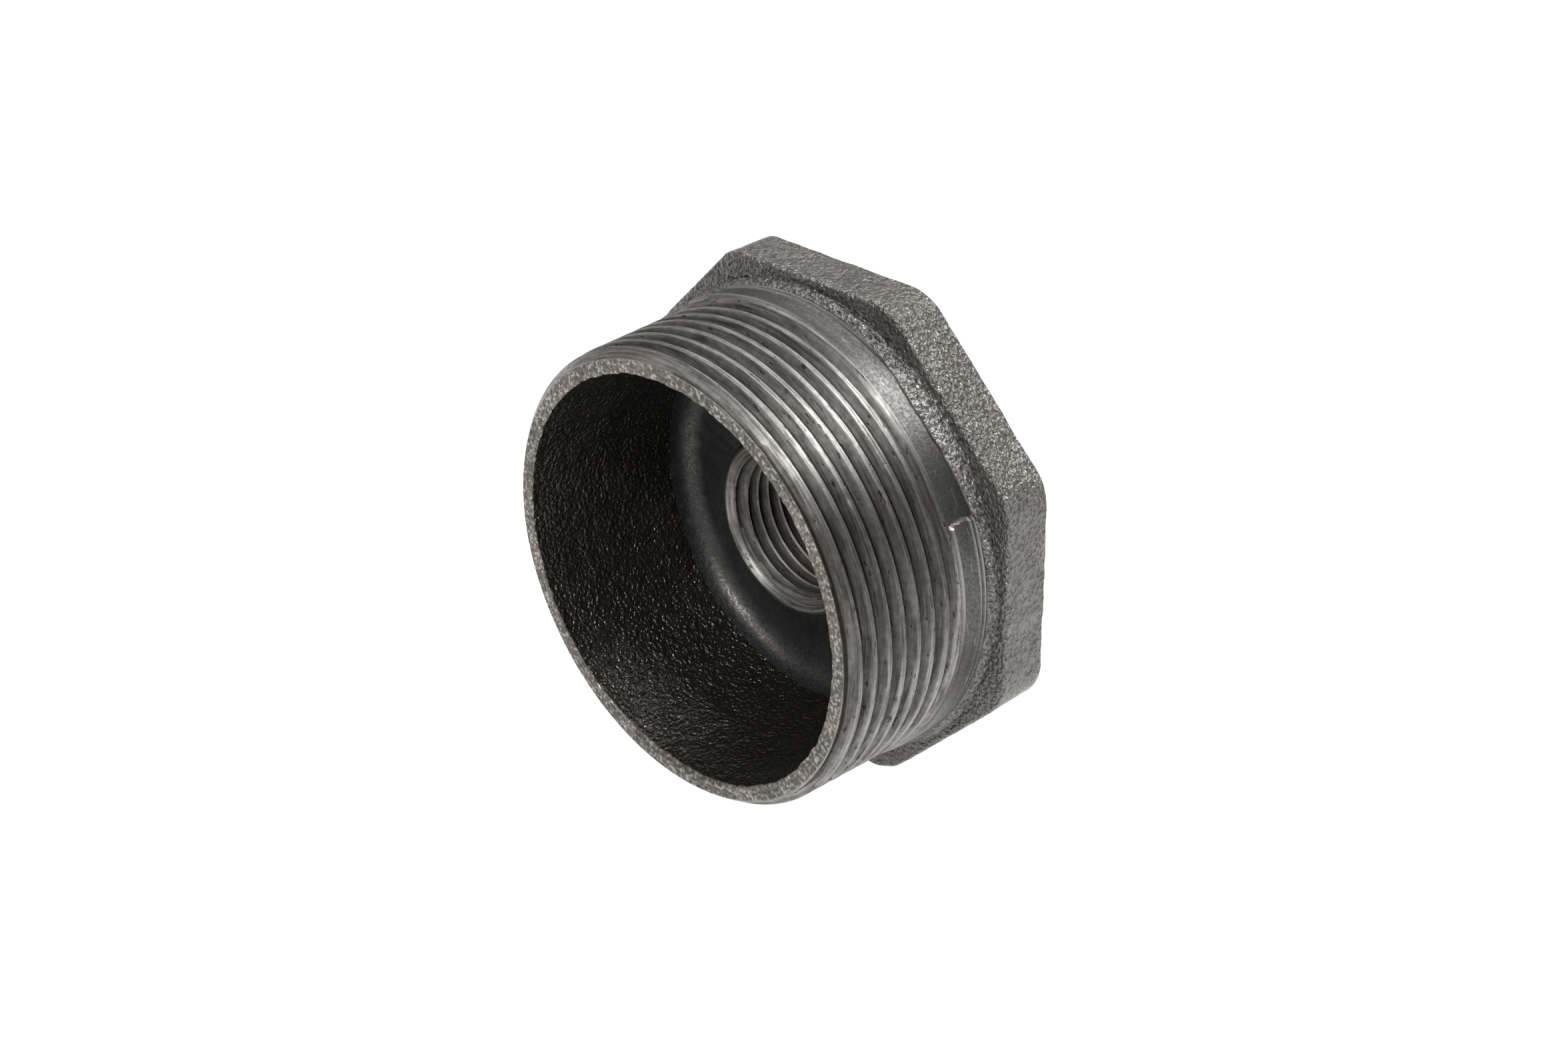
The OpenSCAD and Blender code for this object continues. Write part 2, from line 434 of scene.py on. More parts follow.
    def helix_rows(self, start, stop, first, pitch, phases):
        """Rows that follow a helix: each row keeps its phase and moves one pitch along per
        turn, held between start and stop, so that every crest edge runs along a row."""
        low = math.floor((start - first) / pitch) - 1
        high = math.ceil((stop - first) / pitch)
        rows = first + pitch * (np.arange(low, high + 1)[:, None] + phases[None, :]).ravel()
        rows = rows[(rows > start - pitch - 1e-9) & (rows < stop + 1e-9)]
        turn, row = self.grid(np.concatenate([[start - pitch], rows, [stop]]))
        return turn, np.clip(row + pitch * turn / TURN, start, stop)

    def male_thread(self):
        """The male thread, 12 rows to a pitch, from the collar to the rim."""
        half, root, pitch = CREST_WIDTH / 2, ROOT_WIDTH / 2, self.thread_pitch
        flank = pitch / 2 - half - root
        side = np.array([0.5 * half, half, half + 0.33 * flank, half + 0.67 * flank,
                         pitch / 2 - root])
        phases = np.sort(np.concatenate([[0.0, pitch / 2], side, pitch - side])) / pitch
        turn, depth = self.helix_rows(THREAD_FROM, self.overall_length, FIRST_CREST, pitch,
                                      phases)
        turn = slanted(turn, depth)
        return turn, self.male_radius(turn, depth), depth

    def mouth_edge(self, turn):
        """Inner edge of the rim: the cast wall meets the faced rim in a slightly ragged line."""
        ragged = uneven(turn, 0 * turn, SEEDS["mouth"], MOUTH_WAVES, 0.0, MOUTH_RAGGED)
        spikes = uneven(turn, 0 * turn, SEEDS["spikes"], SPIKE_WAVES, 0.0, MOUTH_SPIKES)
        tall = SPIKES_LEAST + SPIKES_MORE * bell(turn, SPIKES_TURN, SPIKES_WIDTH)
        return self.mouth_radius + MOUTH_OUT + ragged + spikes * tall

    def mouth_round(self, turn):
        """Rounding of that edge: small all round, wider towards the bottom."""
        low = bell(turn, MOUTH_ROUND_TURN, MOUTH_ROUND_WIDTH)
        return MOUTH_ROUND + MOUTH_ROUND_MORE * low

    def rim(self):
        """The faced rim: rings from the chamfer's edge to the start of the inner rounding."""
        turn, t = self.grid([0, 0.1, 0.25, 0.45, 0.65, 0.85, 1])
        end = np.full_like(turn, self.overall_length)
        outer = self.male_radius(turn, end)
        inner = self.mouth_edge(turn) + self.mouth_round(turn)
        return turn, outer + (inner - outer) * t, end

    def wall_radius(self, turn, depth):
        """The cavity's drafted wall with the roughness of its sand core."""
        true = self.floor_radius + self.draft * (depth - self.web_thickness)
        return true + skin(turn, depth, "cavity", CORE_ROUGH)

    def mouth(self):
        """The rim's inner rounding: with e its radius, radius falls by e sin a and depth by
        e (1 - cos a)."""
        turn, a = self.grid(QUARTER)
        e = self.mouth_round(turn)
        return (turn, self.mouth_edge(turn) + e * (1 - np.sin(a)),
                self.overall_length - e * (1 - np.cos(a)))

    def cavity_wall(self):
        """The cavity's wall, from the mouth down to the floor's fillet. The mouth's raggedness
        fades into it on the way."""
        fillet_top = self.web_thickness + CAVITY_FILLET * (1 + self.draft)
        turn, t = self.grid(np.linspace(0, 1, 27)[1:] ** 1.15)
        start = self.overall_length - self.mouth_round(turn)
        depth = start + (fillet_top - start) * t
        fade = 1 - smooth(0.0, MOUTH_RAGGED_DEPTH, start - depth)
        radius = self.wall_radius(turn, depth)
        return turn, radius + (self.mouth_edge(turn) - radius) * fade, depth

    def cavity_floor(self):
        """The floor's fillet, the floor, and the foot of the boss, as arcs and a flat. The
        skin's unevenness dies out over the last 2 mm before the boss."""
        corner = self.floor_radius - CAVITY_FILLET + self.draft * CAVITY_FILLET
        a = np.radians([12, 26, 40, 54, 68, 80, 90])
        boss_foot = self.boss_radius + BOSS_DRAFT * self.boss_height
        foot = BOSS_FOOT_ROUND
        flat = np.linspace(corner, boss_foot + foot, 6)[1:-1]
        radius = np.concatenate([corner + CAVITY_FILLET * np.cos(a), flat,
                                 boss_foot + foot * (1 - np.sin(QUARTER))])
        depth = self.web_thickness + np.concatenate([CAVITY_FILLET * (1 - np.sin(a)),
                                                     np.zeros(len(flat)),
                                                     foot * (1 - np.cos(QUARTER))])
        turn, radius = self.grid(radius)
        depth = np.broadcast_to(depth[:, None], turn.shape)
        inner = smooth(boss_foot, boss_foot + 2, radius)
        outer = skin(turn, radius, "cavity", CORE_ROUGH)
        return turn, radius + outer * inner * 0.7, depth + 0.8 * outer * inner

    def boss(self):
        """The boss: its drafted side and a cast rounding at its top."""
        e = BOSS_TOP_ROUND
        foot_top = self.web_thickness + BOSS_FOOT_ROUND
        side = np.linspace(foot_top, self.boss_top - e, 5)[1:-1]
        depths = np.concatenate([side, self.boss_top - e * (1 - np.sin(QUARTER))])
        radii = np.concatenate([self.boss_radius + BOSS_DRAFT * (self.boss_top - side),
                                self.boss_radius - e * (1 - np.cos(QUARTER))])
        turn, depth = self.grid(depths)
        radius = np.broadcast_to(radii[:, None], turn.shape)
        return turn, radius + 0.5 * skin(turn, depth, "boss", CORE_ROUGH), depth

    def port_surface(self, turn, depth):
        """Radius of the small port: minor radius plus the groove's depth, or the cone of
        either chamfer where that is wider."""
        phase = depth - PORT_CREST - self.port_pitch * (turn - CHASER_TURNS[2]) / TURN
        form = ridge(phase, self.port_pitch, PORT_CREST_WIDTH, PORT_ROOT_WIDTH)
        thread = self.port_radius + self.port_depth * (1 - form)
        land_end = self.boss_top - PORT_INNER_CHAMFER
        outer_cone = self.port_radius + PORT_OUTER_CHAMFER - depth
        inner_cone = self.port_radius + (depth - land_end)
        return np.maximum(thread, np.maximum(outer_cone, inner_cone))

    def port(self):
        """The female thread, 12 rows to a pitch, from the boss's top to the outer face."""
        pitch = self.port_pitch
        half, root = PORT_CREST_WIDTH / 2, PORT_ROOT_WIDTH / 2
        side = np.array([half, 0.5 * (half + pitch / 2 - root), pitch / 2 - root])
        side = np.concatenate([side, [0.5 * (side[0] + side[1]), 0.5 * (side[1] + side[2])]])
        phases = np.sort(np.concatenate([[0.0, pitch / 2], side, pitch - side])) / pitch
        first = PORT_CREST - pitch * CHASER_TURNS[2] / TURN
        turn, depth = self.helix_rows(0.0, self.boss_top, first, pitch, phases)
        turn, depth = turn[::-1], depth[::-1]
        return turn, self.port_surface(turn, depth), depth

    def all(self):
        """Every surface in order round the casting's section, with its finish."""
        return [(self.outer_face(), "skin"), (self.head_side(), "skin"),
                (self.shoulder(), "skin"), (self.collar(), "collar"),
                (self.male_thread(), "thread"), (self.rim(), "rim"), (self.mouth(), "rim"),
                (self.cavity_wall(), "cavity"), (self.cavity_floor(), "floor"),
                (self.boss(), "floor"), (self.port(), "port")]


FINISHES = ["skin", "collar", "thread", "rim", "cavity", "floor", "port"]
# Points that round to the same multiple of this many millimetres are one point
MERGE_DISTANCE = 5e-5
# Edges that turn by more than this are drawn sharp
SHARP_ANGLE = math.radians(26)


def closed_mesh(name, surfaces):
    """One mesh of all the surfaces' grids. Each grid is sewn to the next by a strip between
    its last row and the next one's first, the last one is sewn to the first, and points that
    coincide are merged."""
    parts, finish = [], []
    count = len(surfaces)
    for i, (grids, kind) in enumerate(surfaces):
        parts.append(np.stack(grids, axis=-1))
        finish += [FINISHES.index(kind)] * (len(grids[0]) - 1)
        finish.append(FINISHES.index(surfaces[(i + 1) % count][1]))
    parts.append(parts[0][:1])
    turn, radius, depth = np.moveaxis(np.concatenate(parts), -1, 0)
    turn = turn % TURN
    points = np.stack([radius * np.cos(turn), -depth, radius * np.sin(turn)], axis=-1)
    rows, columns = turn.shape
    flat = points.reshape(-1, 3)
    keys = np.round(flat / MERGE_DISTANCE).astype(np.int64)
    _, first, merged = np.unique(keys, axis=0, return_index=True, return_inverse=True)
    order = np.argsort(np.argsort(first))
    merged = order[merged.ravel()].reshape(rows, columns)
    corners = np.stack([merged[:-1, :-1], merged[:-1, 1:], merged[1:, 1:], merged[1:, :-1]],
                       axis=-1).reshape(-1, 4)
    finish = np.repeat(finish, columns - 1)
    return build_mesh(name, flat[np.sort(first)], corners, finish)


def build_mesh(name, points, corners, finish):
    """A mesh from points in millimetres and four-cornered faces; a face with two coinciding
    corners becomes a triangle, and one with fewer than three distinct corners is left out."""
    keep = corners != np.roll(corners, 1, axis=1)
    sizes = keep.sum(axis=1)
    cross = (corners[:, 0] == corners[:, 2]) | (corners[:, 1] == corners[:, 3])
    good = (sizes >= 3) & ~cross
    keep, sizes, finish = keep[good], sizes[good], finish[good]
    loops = corners[good][keep]
    mesh = bpy.data.meshes.new(name)
    mesh.vertices.add(len(points))
    mesh.vertices.foreach_set("co", (points * MM).astype(np.float32).ravel())
    mesh.loops.add(len(loops))
    mesh.loops.foreach_set("vertex_index", loops.astype(np.int32))
    mesh.polygons.add(len(sizes))
    starts = np.concatenate([[0], np.cumsum(sizes)[:-1]]).astype(np.int32)
    mesh.polygons.foreach_set("loop_start", starts)
    mesh.polygons.foreach_set("material_index", finish.astype(np.int32))
    mesh.polygons.foreach_set("use_smooth", np.ones(len(sizes), dtype=bool))
    mesh.update(calc_edges=True)
    mesh.validate()
    mesh.set_sharp_from_angle(angle=SHARP_ANGLE)
    return mesh


# ---------------------------------------------------------------- wear and painted light

# How bright the rim's chamfer and the port's mouths are rubbed, against 1 for a crest, and the
# share of that brightness that the port's own crests keep, a painted shade for the shade down
# the bore
CHAMFER_RUB = 0.93
PORT_MOUTH_RUB = 0.92
PORT_MOUTH = 1.2
PORT_PAINTED_SHADE_SHARE = 0.2
# Painted reflection: how much lighter the thread's underside is painted for the bright floor it
# reflects, round which turn, how wide, and above which crest value. Painted shade: how much
# darker a band of the thread is painted round the turn where it faces the room's dark side, and
# how wide
UNDERSIDE_PAINTED_REFLECTION, UNDERSIDE_REFLECTION_TURN, UNDERSIDE_REFLECTION_WIDTH = 0.95, -48.0, 40.0
UNDERSIDE_REFLECTION_ABOVE = 0.15
MIDDLE_PAINTED_SHADE, MIDDLE_SHADE_TURN, MIDDLE_SHADE_WIDTH = 0.32, 14.0, 16.0
# Share of skin rubbed off the head's rounded edges, and how far from them it reaches
EDGE_RUB, EDGE_RUB_REACH = 0.35, 0.5
# Share rubbed off the cast neck all round, the painted highlight added at its upper right where
# it faces the key light, between which distances from the head it starts, and the turn and width
# of that painted highlight
NECK_RUB, NECK_PAINTED_HIGHLIGHT = 0.25, 0.6
NECK_RUB_START = (0.2, 0.6)
NECK_HIGHLIGHT_TURN, NECK_HIGHLIGHT_WIDTH = 50.0, 32.0
# Share rubbed off the ridges beside the chasers' steps at the most, the height above the
# collar where it starts and the height over which it would reach 1, and its first depths
RIDGE_RUB = 0.8
RIDGE_RUB_FROM, RIDGE_RUB_RANGE = 0.24, 0.15
RIDGE_RUB_START = (8.2, 8.4)


def crest_rub_and_painted_light(shape, turn, radius, depth, in_port):
    """1 on the threads' crests and 0 at their roots, in a straight line with the radius. Both
    chamfers have their own value. The thread's underside is lifted towards 1 as a painted
    reflection of the bright floor, and a band round the turn is lowered as painted shade where
    the thread faces the room's dark side. Inside the port, away from its mouths, the value is
    scaled down as painted shade."""
    outside = (radius - shape.crest_radius(depth)) / shape.thread_depth + 1
    on_chamfer = np.abs(radius - shape.chamfer_radius(depth)) < 0.03
    outside = np.where(on_chamfer, CHAMFER_RUB, outside)
    # Painted reflection: the thread's underside is painted lighter for the bright floor it
    # reflects
    low = UNDERSIDE_PAINTED_REFLECTION * bell(turn, UNDERSIDE_REFLECTION_TURN, UNDERSIDE_REFLECTION_WIDTH)
    outside = outside + low * (1 - outside) * (outside > UNDERSIDE_REFLECTION_ABOVE)
    # Painted shade: a band round the turn is painted darker where the thread faces the room's
    # dark side
    outside = outside * (1 - MIDDLE_PAINTED_SHADE * bell(turn, MIDDLE_SHADE_TURN, MIDDLE_SHADE_WIDTH))
    inside = 1 - (radius - shape.port_radius) / shape.port_depth
    at_mouth = (depth > shape.boss_top - PORT_MOUTH) | (depth < PORT_MOUTH)
    # Painted shade: inside the port, away from its mouths, the crests are painted much darker
    inside = np.where(at_mouth, PORT_MOUTH_RUB, PORT_PAINTED_SHADE_SHARE * inside)
    return np.clip(np.where(in_port, inside, outside), 0, 1)


def skin_rub_and_painted_highlight(shape, turn, radius, depth, in_port):
    """Share of skin worn off, with a painted highlight on the neck: on the head's edges it falls
    as exp(-(d / reach)^2) with the distance d from them, on the neck it is a share all round
    plus a painted highlight that follows a bell curve round the turn where the neck faces the
    key light, and on the chasers' ridges it grows with their height."""
    outline = head_radius(turn, shape.flat, shape.corner_radius) - radius
    inward = np.minimum(depth, shape.head_thickness - depth)
    near = np.hypot(np.clip(inward, 0, None), np.clip(outline, 0, None))
    rounded = EDGE_RUB * np.exp(-(near / EDGE_RUB_REACH) ** 2)
    rounded = rounded * (depth < shape.head_thickness + 0.3)
    start, full = (shape.head_thickness + away for away in NECK_RUB_START)
    neck = smooth(start, full, depth)
    neck = neck * (depth < shape.collar_start(turn) + 0.02) * (radius > shape.collar_radius)
    # Painted highlight: the bell round the turn brightens the neck's upper right, where it faces
    # the key light
    neck = neck * (NECK_RUB + NECK_PAINTED_HIGHLIGHT * bell(turn, NECK_HIGHLIGHT_TURN, NECK_HIGHLIGHT_WIDTH))
    height = radius - shape.collar_radius - RIDGE_RUB_FROM
    proud = np.clip(height / RIDGE_RUB_RANGE, 0, RIDGE_RUB)
    proud = proud * smooth(*RIDGE_RUB_START, depth) * (depth < THREAD_FROM)
    return np.maximum(rounded, np.maximum(neck, proud) * ~in_port)


def mark_wear_and_painted_light(mesh, shape):
    """Writes two numbers on each vertex for the finishes to read, crest and edge. Both hold wear
    and also painted light: a painted reflection and painted shade on the threads, and a painted
    highlight on the neck.
    """
    points = np.empty(len(mesh.vertices) * 3, dtype=np.float32)
    mesh.vertices.foreach_get("co", points)
    x, y, z = (points.reshape(-1, 3) / MM).T
    turn, radius, depth = np.arctan2(z, x) % TURN, np.hypot(x, z), -y
    in_port = radius < shape.port_radius + PORT_INNER_CHAMFER + 0.1
    for name, rub in (("crest", crest_rub_and_painted_light), ("edge", skin_rub_and_painted_highlight)):
        layer = mesh.attributes.new(name, "FLOAT", "POINT")
        values = rub(shape, turn, radius, depth, in_port)
        layer.data.foreach_set("value", values.astype(np.float32))


# ---------------------------------------------------------------- finishes

def node(tree, kind, out, inputs=None, stops=(), **settings):
    """Adds a node with its settings, its inputs (each a plain value or another node's output)
    and a ramp's stops of (position, grey), and returns the output asked for, or the node."""
    made = tree.nodes.new(kind)
    for key, value in settings.items():
        setattr(made, key, value)
    for key, value in (inputs or {}).items():
        socket = made.inputs[key]
        if isinstance(value, bpy.types.NodeSocket):
            tree.links.new(value, socket)
        elif socket.type == "RGBA":
            socket.default_value = opaque(value)
        else:
            socket.default_value = value
    for _ in stops[2:]:
        made.color_ramp.elements.new(1.0)
    for i, (position, grey) in enumerate(stops):
        made.color_ramp.elements[i].position = position
        made.color_ramp.elements[i].color = opaque((grey, grey, grey))
    return made if out is None else made.outputs[out]


NOISE = "ShaderNodeTexNoise"
RAMP = "ShaderNodeValToRGB"
MIX = "ShaderNodeMix"
MATH = "ShaderNodeMath"
MAPPING = "ShaderNodeMapping"
ATTRIBUTE = "ShaderNodeAttribute"
# A colour Mix node's sockets: its two colours, and its result
FIRST, SECOND, MIXED = 6, 7, 2


def opaque(shade):
    """A colour with full alpha."""
    return (*shade[:3], 1.0)


def darker(shade, share):
    """A colour with this share of its light."""
    return [share * c for c in shade]


def per_metre(lump_mm):
    """A noise's scale, in lumps to the metre, from one lump's width in millimetres."""
    return 1000.0 / lump_mm


def start_material(name):
    """A material with a Principled shader: (material, tree, shader, object coordinates)."""
    made = bpy.data.materials.new(name)
    made.use_nodes = True
    tree = made.node_tree
    tree.nodes.clear()
    shader = node(tree, "ShaderNodeBsdfPrincipled", None)
    output = node(tree, "ShaderNodeOutputMaterial", None, {"Surface": shader.outputs[0]})
    output.is_active_output = True
    where = node(tree, "ShaderNodeTexCoord", "Object")
    return made, tree, shader, where


def finish_shader(tree, shader, base, roughness, metallic, height, bump_mm):
    """Links colour and roughness to the shader, sets how metallic it is, and raises the
    surface by a height of up to bump_mm."""
    tree.links.new(base, shader.inputs["Base Color"])
    tree.links.new(roughness, shader.inputs["Roughness"])
    shader.inputs["Metallic"].default_value = metallic
    normal = node(tree, "ShaderNodeBump", "Normal",
                  {"Height": height, "Distance": bump_mm * MM, "Strength": 1.0})
    tree.links.new(normal, shader.inputs["Normal"])


def scratch_round(tree, shader, amount):
    """Fine scratches that run round the axis, which smear a highlight along it."""
    axis = node(tree, "ShaderNodeVectorTransform", "Vector", {"Vector": (0.0, 1.0, 0.0)},
                vector_type="VECTOR", convert_from="OBJECT", convert_to="WORLD")
    tree.links.new(axis, shader.inputs["Tangent"])
    shader.inputs["Anisotropic"].default_value = amount


def cast_skin(name, light, dark, bare, metallic, gloss, sand_mm, bump_mm):
    """Malleable iron as it leaves a sand mould: a black oxide skin with the sand's grain printed
    in it. It looks dull in the hollows, sparkles on the grain tops, and shows bare iron where
    the edge attribute marks it worn and where that attribute holds the neck's painted highlight."""
    made, tree, shader, where = start_material(name)
    # Foundry sand is about 0.25 mm; sand_mm is coarser, so that the grain shows
    grain = node(tree, NOISE, "Fac", {"Vector": where, "Scale": per_metre(sand_mm),
                                      "Detail": 1.0, "Roughness": 0.5})
    grit = node(tree, NOISE, "Fac", {"Vector": where, "Scale": per_metre(sand_mm * 0.4),
                                     "Detail": 1.0, "Roughness": 0.5})
    # Lumps where the sand was rammed loosely, and cloudy patches of oxide
    lumps = node(tree, NOISE, "Fac", {"Vector": where, "Scale": per_metre(1.7),
                                      "Detail": 2.0, "Roughness": 0.5})
    blotch = node(tree, NOISE, "Fac", {"Vector": where, "Scale": per_metre(5.0),
                                       "Detail": 4.0, "Roughness": 0.6})
    tops = node(tree, RAMP, "Color", {"Fac": grain}, [(0.38, 0.0), (0.62, 1.0)])
    base = node(tree, MIX, MIXED, {"Factor": tops, FIRST: dark, SECOND: light},
                data_type="RGBA")
    clouds = node(tree, RAMP, "Color", {"Fac": blotch}, [(0.3, 0.3), (0.7, 0.7)])
    base = node(tree, MIX, MIXED, {"Factor": 0.5, FIRST: base, SECOND: clouds},
                data_type="RGBA", blend_type="OVERLAY")
    # The edge attribute: skin worn off, and a painted highlight on the neck
    rub_and_painted_light = node(tree, ATTRIBUTE, "Fac", attribute_name="edge")
    proud = node(tree, RAMP, "Color", {"Fac": grain}, [(0.42, 0.0), (0.6, 0.7)])
    worn = node(tree, MATH, 0, {0: rub_and_painted_light, 1: proud}, operation="MULTIPLY")
    base = node(tree, MIX, MIXED, {"Factor": worn, FIRST: base, SECOND: bare},
                data_type="RGBA")
    shine = node(tree, RAMP, "Color", {"Fac": grit}, [(0.35, gloss + 0.25), (0.65, gloss)])
    height = node(tree, MATH, 0, {0: lumps, 1: 0.9}, operation="MULTIPLY")
    height = node(tree, MATH, 0, {0: grit, 1: 0.1, 2: height}, operation="MULTIPLY_ADD")
    height = node(tree, MATH, 0, {0: grain, 1: 1.0, 2: height}, operation="MULTIPLY_ADD")
    finish_shader(tree, shader, base, shine, metallic, height, bump_mm)
    return made


def cut_iron(name, colours, metallic, dullness, streak_mm, bump_mm, scratches):
    """Malleable iron cut by a threading die or a tap: grey metal with streaks along the cut.
    The crests are light and the grooves darker, as the crest attribute gives, together with the
    painted reflection and painted shade that it holds; tiny tears are black."""
    made, tree, shader, where = start_material(name)
    # The cutter's marks are under 0.1 mm apart; streak_mm is coarser, so that they show
    along = node(tree, MAPPING, "Vector", {"Vector": where, "Scale": (0.035, 1.0, 0.035)})
    streaks = node(tree, NOISE, "Fac", {"Vector": along, "Scale": per_metre(streak_mm),
                                        "Detail": 3.0, "Roughness": 0.65})
    along = node(tree, MAPPING, "Vector", {"Vector": where, "Scale": (0.12, 1.0, 0.12)})
    fine = node(tree, NOISE, "Fac", {"Vector": along, "Scale": per_metre(streak_mm * 0.45),
                                     "Detail": 2.0, "Roughness": 0.6})
    along = node(tree, MAPPING, "Vector", {"Vector": where, "Scale": (0.22, 1.0, 0.22)})
    tears = node(tree, NOISE, "Fac", {"Vector": along, "Scale": per_metre(0.4),
                                      "Detail": 3.0, "Roughness": 0.6})
    mottle = node(tree, NOISE, "Fac", {"Vector": where, "Scale": per_metre(1.0),
                                       "Detail": 4.0, "Roughness": 0.6})
    # The crest attribute: light on the crests and darker at the roots, with a painted reflection
    # on the thread's underside, and painted shade on a band round its middle and inside the port
    crest = node(tree, ATTRIBUTE, "Fac", attribute_name="crest")
    bright = node(tree, RAMP, "Color", {"Fac": crest},
                  [(0.02, 0.0), (0.2, 0.5), (0.85, 0.62), (0.95, 0.95)])
    clean = node(tree, RAMP, "Color", {"Fac": streaks}, [(0.34, 0.25), (0.6, 1.0)])
    rub_and_painted_light = node(tree, MATH, 0, {0: bright, 1: clean}, operation="MULTIPLY")
    base = node(tree, MIX, MIXED,
                {"Factor": rub_and_painted_light, FIRST: colours.cut_dark, SECOND: colours.cut},
                data_type="RGBA")
    clouds = node(tree, RAMP, "Color", {"Fac": mottle}, [(0.3, 0.3), (0.7, 0.7)])
    base = node(tree, MIX, MIXED, {"Factor": 0.5, FIRST: base, SECOND: clouds},
                data_type="RGBA", blend_type="OVERLAY")
    torn = node(tree, RAMP, "Color", {"Fac": tears}, [(0.31, 1.0), (0.37, 0.0)])
    filled = node(tree, MATH, 0, {0: torn, 1: 0.75}, operation="MULTIPLY")
    base = node(tree, MIX, MIXED,
                {"Factor": filled, FIRST: base, SECOND: darker(colours.cut_dark, 0.35)},
                data_type="RGBA")
    uneven_shine = node(tree, MATH, 0, {0: mottle, 1: 0.5}, operation="MULTIPLY")
    uneven_shine = node(tree, MATH, 0, {0: fine, 1: 0.5, 2: uneven_shine},
                        operation="MULTIPLY_ADD")
    shine = node(tree, RAMP, "Color", {"Fac": uneven_shine},
                 [(0.3, dullness + 0.12), (0.7, dullness)])
    groove = node(tree, RAMP, "Color", {"Fac": crest}, [(0.8, 0.18), (0.95, 0.0)])
    shine = node(tree, MATH, 0, {0: shine, 1: groove}, operation="ADD")
    height = node(tree, MATH, 0, {0: torn, 1: -1.2}, operation="MULTIPLY")
    height = node(tree, MATH, 0, {0: fine, 1: 0.5, 2: height}, operation="MULTIPLY_ADD")
    height = node(tree, MATH, 0, {0: streaks, 1: 1.0, 2: height}, operation="MULTIPLY_ADD")
    finish_shader(tree, shader, base, shine, metallic, height, bump_mm)
    scratch_round(tree, shader, scratches)
    return made


def turned_collar(name, colours):
    """Malleable iron turned smooth and then oiled black: a dark satin with a soft, compact
    highlight, finely mottled by the iron's own grain, with a few bright scuffs."""
    made, tree, shader, where = start_material(name)
    # The iron's grain is about 0.1 mm; drawn at 0.35 mm, so that it shows
    grain = node(tree, NOISE, "Fac", {"Vector": where, "Scale": per_metre(0.35),
                                      "Detail": 2.0, "Roughness": 0.5})
    blotch = node(tree, NOISE, "Fac", {"Vector": where, "Scale": per_metre(3.0),
                                       "Detail": 3.0, "Roughness": 0.55})
    along = node(tree, MAPPING, "Vector", {"Vector": where, "Scale": (0.15, 1.0, 0.15)})
    scuffs = node(tree, NOISE, "Fac", {"Vector": along, "Scale": per_metre(0.35),
                                       "Detail": 3.0, "Roughness": 0.6})
    light = node(tree, RAMP, "Color", {"Fac": grain}, [(0.32, 0.0), (0.62, 1.0)])
    base = node(tree, MIX, MIXED, {"Factor": light, FIRST: darker(colours.collar, 0.6),
                                   SECOND: colours.collar}, data_type="RGBA")
    clouds = node(tree, RAMP, "Color", {"Fac": blotch}, [(0.3, 0.35), (0.7, 0.65)])
    base = node(tree, MIX, MIXED, {"Factor": 0.3, FIRST: base, SECOND: clouds},
                data_type="RGBA", blend_type="OVERLAY")
    scuffed = node(tree, RAMP, "Color", {"Fac": scuffs}, [(0.62, 0.0), (0.72, 0.6)])
    base = node(tree, MIX, MIXED, {"Factor": scuffed, FIRST: base, SECOND: colours.cut},
                data_type="RGBA")
    # The edge attribute: worn iron, and a little of the neck's painted highlight next to the
    # collar
    rub_and_painted_light = node(tree, ATTRIBUTE, "Fac", attribute_name="edge")
    base = node(tree, MIX, MIXED, {"Factor": rub_and_painted_light, FIRST: base, SECOND: colours.cut},
                data_type="RGBA")
    shine = node(tree, RAMP, "Color", {"Fac": grain}, [(0.3, 0.52), (0.7, 0.4)])
    height = node(tree, MATH, 0, {0: scuffs, 1: 0.6, 2: grain}, operation="MULTIPLY_ADD")
    finish_shader(tree, shader, base, shine, 0.9, height, 0.03)
    scratch_round(tree, shader, 0.5)
    return made


